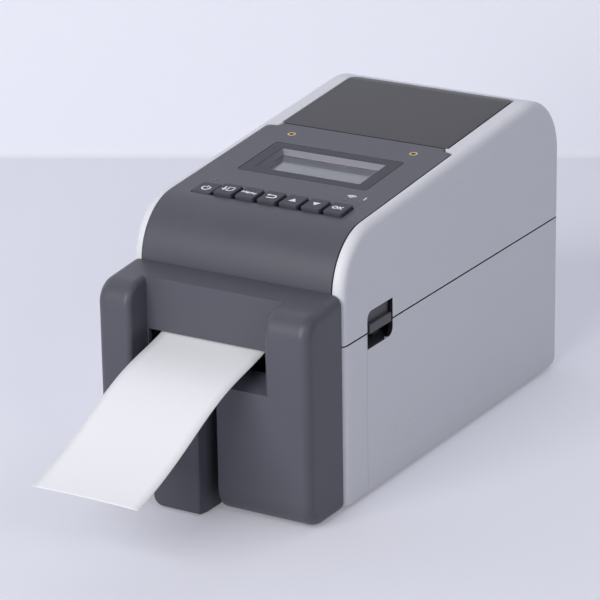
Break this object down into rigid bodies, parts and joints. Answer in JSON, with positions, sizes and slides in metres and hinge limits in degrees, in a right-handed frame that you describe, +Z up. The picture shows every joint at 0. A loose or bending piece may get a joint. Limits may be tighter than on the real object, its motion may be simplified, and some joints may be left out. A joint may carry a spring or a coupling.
{
  "type": "desktop label printer",
  "caption": "Desktop roll-fed label printer with a hinged lid, sloping key panel with display, smoked window, front dispensing unit and a blank label hanging from its slot.",
  "frame": {"origin": "on the desk, under the middle of the casing's footprint without the front unit", "axes": "+X to the printer's right seen from its front, -Y the way the label leaves, +Z up"},
  "size_m": [0.1154, 0.3453, 0.15],
  "materials": {
    "white_plastic": "fine matt texture",
    "dark_plastic": "fine matt texture",
    "black_plastic": "matt",
    "lever_plastic": "satin",
    "key_plastic": "satin",
    "smoked_plastic": "polished",
    "display_glass": "anti-glare",
    "display_grey": "flat grey",
    "light_pipe": "clear, unlit",
    "brass": "turned",
    "steel": "plain",
    "aluminium": "extruded",
    "ceramic": "glazed ceramic",
    "rubber": "soft matt",
    "gear_plastic": "moulded",
    "circuit_board": "solder mask",
    "label_paper": "coated paper",
    "core_board": "grey board"
  },
  "bodies": {
    "base": {"base_plate": "white_plastic", "lower_shell": "white_plastic", "front_frame": "white_plastic", "front_cover": "dark_plastic", "peel_bar": "steel", "media_tub": "dark_plastic", "print_frame": "steel", "platen_bushes": "black_plastic", "idler_pin": "steel", "drive_motor": "steel", "media_sensor": "black_plastic", "main_board": "circuit_board", "dc_jack": "black_plastic", "usb_port": "steel", "lan_port": "steel", "rubber_feet": "rubber", "case_screws": "steel", "hinge_pins": "steel", "label_strip": "label_paper"},
    "lid": {"upper_shell": "white_plastic", "control_cover": "dark_plastic", "window_panel": "smoked_plastic", "display_bezel": "dark_plastic", "display_lens": "display_glass", "lcd_module": "display_grey", "panel_board": "circuit_board", "key_mat": "rubber", "status_lights": "light_pipe", "threaded_inserts": "brass", "head_carrier": "steel", "head_heatsink": "aluminium", "head_ceramic": "ceramic", "head_spring": "steel"},
    "peel_slide": {"peel_handle": "dark_plastic", "peel_tray": "dark_plastic"},
    "peel_roller_body": {"peel_roller": "rubber"},
    "roll": {"label_core": "core_board", "label_roll": "label_paper"},
    "platen": {"platen_shaft": "steel", "platen_rubber": "rubber", "platen_gear": "gear_plastic"},
    "idler": {"idler_gear": "gear_plastic"},
    "pinion": {"motor_pinion": "brass"},
    "guide_left_body": {"media_guide_left": "dark_plastic", "roll_hub_left": "dark_plastic", "guide_rack_left": "gear_plastic"},
    "guide_right_body": {"media_guide_right": "dark_plastic", "roll_hub_right": "dark_plastic", "guide_rack_right": "gear_plastic"},
    "guide_gear": {"guide_pinion": "gear_plastic"},
    "lever_left": {"release_lever_left": "lever_plastic"},
    "lever_right": {"release_lever_right": "lever_plastic"},
    "key_power": {"power_key": "key_plastic"},
    "key_feed": {"feed_key": "key_plastic"},
    "key_menu": {"menu_key": "key_plastic"},
    "key_back": {"back_key": "key_plastic"},
    "key_up": {"up_key": "key_plastic"},
    "key_down": {"down_key": "key_plastic"},
    "key_enter": {"enter_key": "key_plastic"}
  },
  "joints": [
    {"name": "lid_swing", "type": "hinge", "parent": "base", "child": "lid", "pos_m": [0, 0.1075, 0.093], "axis": [-1, 0, 0], "range_deg": [0, 90]},
    {"name": "lever_left_swing", "type": "hinge", "parent": "lid", "child": "lever_left", "pos_m": [-0.0528, -0.07515, 0.0904], "axis": [0, 1, 0], "range_deg": [0, 10], "stiffness_Nm_per_rad": 0.2},
    {"name": "lever_right_swing", "type": "hinge", "parent": "lid", "child": "lever_right", "pos_m": [0.0528, -0.07515, 0.0904], "axis": [0, -1, 0], "range_deg": [0, 10], "stiffness_Nm_per_rad": 0.2},
    {"name": "peel_pull", "type": "slide", "parent": "base", "child": "peel_slide", "axis": [0, -1, 0], "range_m": [0, 0.008]},
    {"name": "peel_roller_spin", "type": "hinge", "parent": "peel_slide", "child": "peel_roller_body", "pos_m": [0, -0.1091, 0.0733], "axis": [1, 0, 0], "continuous": true},
    {"name": "roll_spin", "type": "hinge", "parent": "base", "child": "roll", "pos_m": [0, 0.0004, 0.0673], "axis": [1, 0, 0], "continuous": true},
    {"name": "platen_spin", "type": "hinge", "parent": "base", "child": "platen", "pos_m": [0, -0.0996, 0.0803], "axis": [1, 0, 0], "continuous": true},
    {"name": "idler_spin", "type": "hinge", "parent": "base", "child": "idler", "pos_m": [0, -0.08572, 0.06375], "axis": [1, 0, 0], "continuous": true},
    {"name": "pinion_spin", "type": "hinge", "parent": "base", "child": "pinion", "pos_m": [0, -0.07031, 0.0537], "axis": [1, 0, 0], "continuous": true},
    {"name": "guide_left_slide", "type": "slide", "parent": "base", "child": "guide_left_body", "axis": [-1, 0, 0], "range_m": [0, 0.004]},
    {"name": "guide_right_slide", "type": "slide", "parent": "base", "child": "guide_right_body", "axis": [1, 0, 0], "range_m": [0, 0.004]},
    {"name": "guide_pinion_spin", "type": "hinge", "parent": "base", "child": "guide_gear", "pos_m": [-0.0035, 0.0004, 0.0072], "axis": [0, 0, 1], "range_deg": [-38.3, 0]},
    {"name": "power_press", "type": "slide", "parent": "lid", "child": "key_power", "axis": [0, 0.0906, -0.9959], "range_m": [0, 0.0008], "stiffness_N_per_m": 1500},
    {"name": "feed_press", "type": "slide", "parent": "lid", "child": "key_feed", "axis": [0, 0.0906, -0.9959], "range_m": [0, 0.0008], "stiffness_N_per_m": 1500},
    {"name": "menu_press", "type": "slide", "parent": "lid", "child": "key_menu", "axis": [0, 0.0906, -0.9959], "range_m": [0, 0.0008], "stiffness_N_per_m": 1500},
    {"name": "back_press", "type": "slide", "parent": "lid", "child": "key_back", "axis": [0, 0.0906, -0.9959], "range_m": [0, 0.0008], "stiffness_N_per_m": 1500},
    {"name": "up_press", "type": "slide", "parent": "lid", "child": "key_up", "axis": [0, 0.0906, -0.9959], "range_m": [0, 0.0008], "stiffness_N_per_m": 1500},
    {"name": "down_press", "type": "slide", "parent": "lid", "child": "key_down", "axis": [0, 0.0906, -0.9959], "range_m": [0, 0.0008], "stiffness_N_per_m": 1500},
    {"name": "enter_press", "type": "slide", "parent": "lid", "child": "key_enter", "axis": [0, 0.0906, -0.9959], "range_m": [0, 0.0008], "stiffness_N_per_m": 1500}
  ],
  "couplings": [
    {"joint": "platen_spin", "follows": "roll_spin", "ratio": 6.5714},
    {"joint": "idler_spin", "follows": "roll_spin", "ratio": -4.5179},
    {"joint": "pinion_spin", "follows": "roll_spin", "ratio": 10.327},
    {"joint": "guide_right_slide", "follows": "guide_left_slide", "ratio": 1},
    {"joint": "guide_pinion_spin", "follows": "guide_left_slide", "rad_per_m": -166.67}
  ]
}
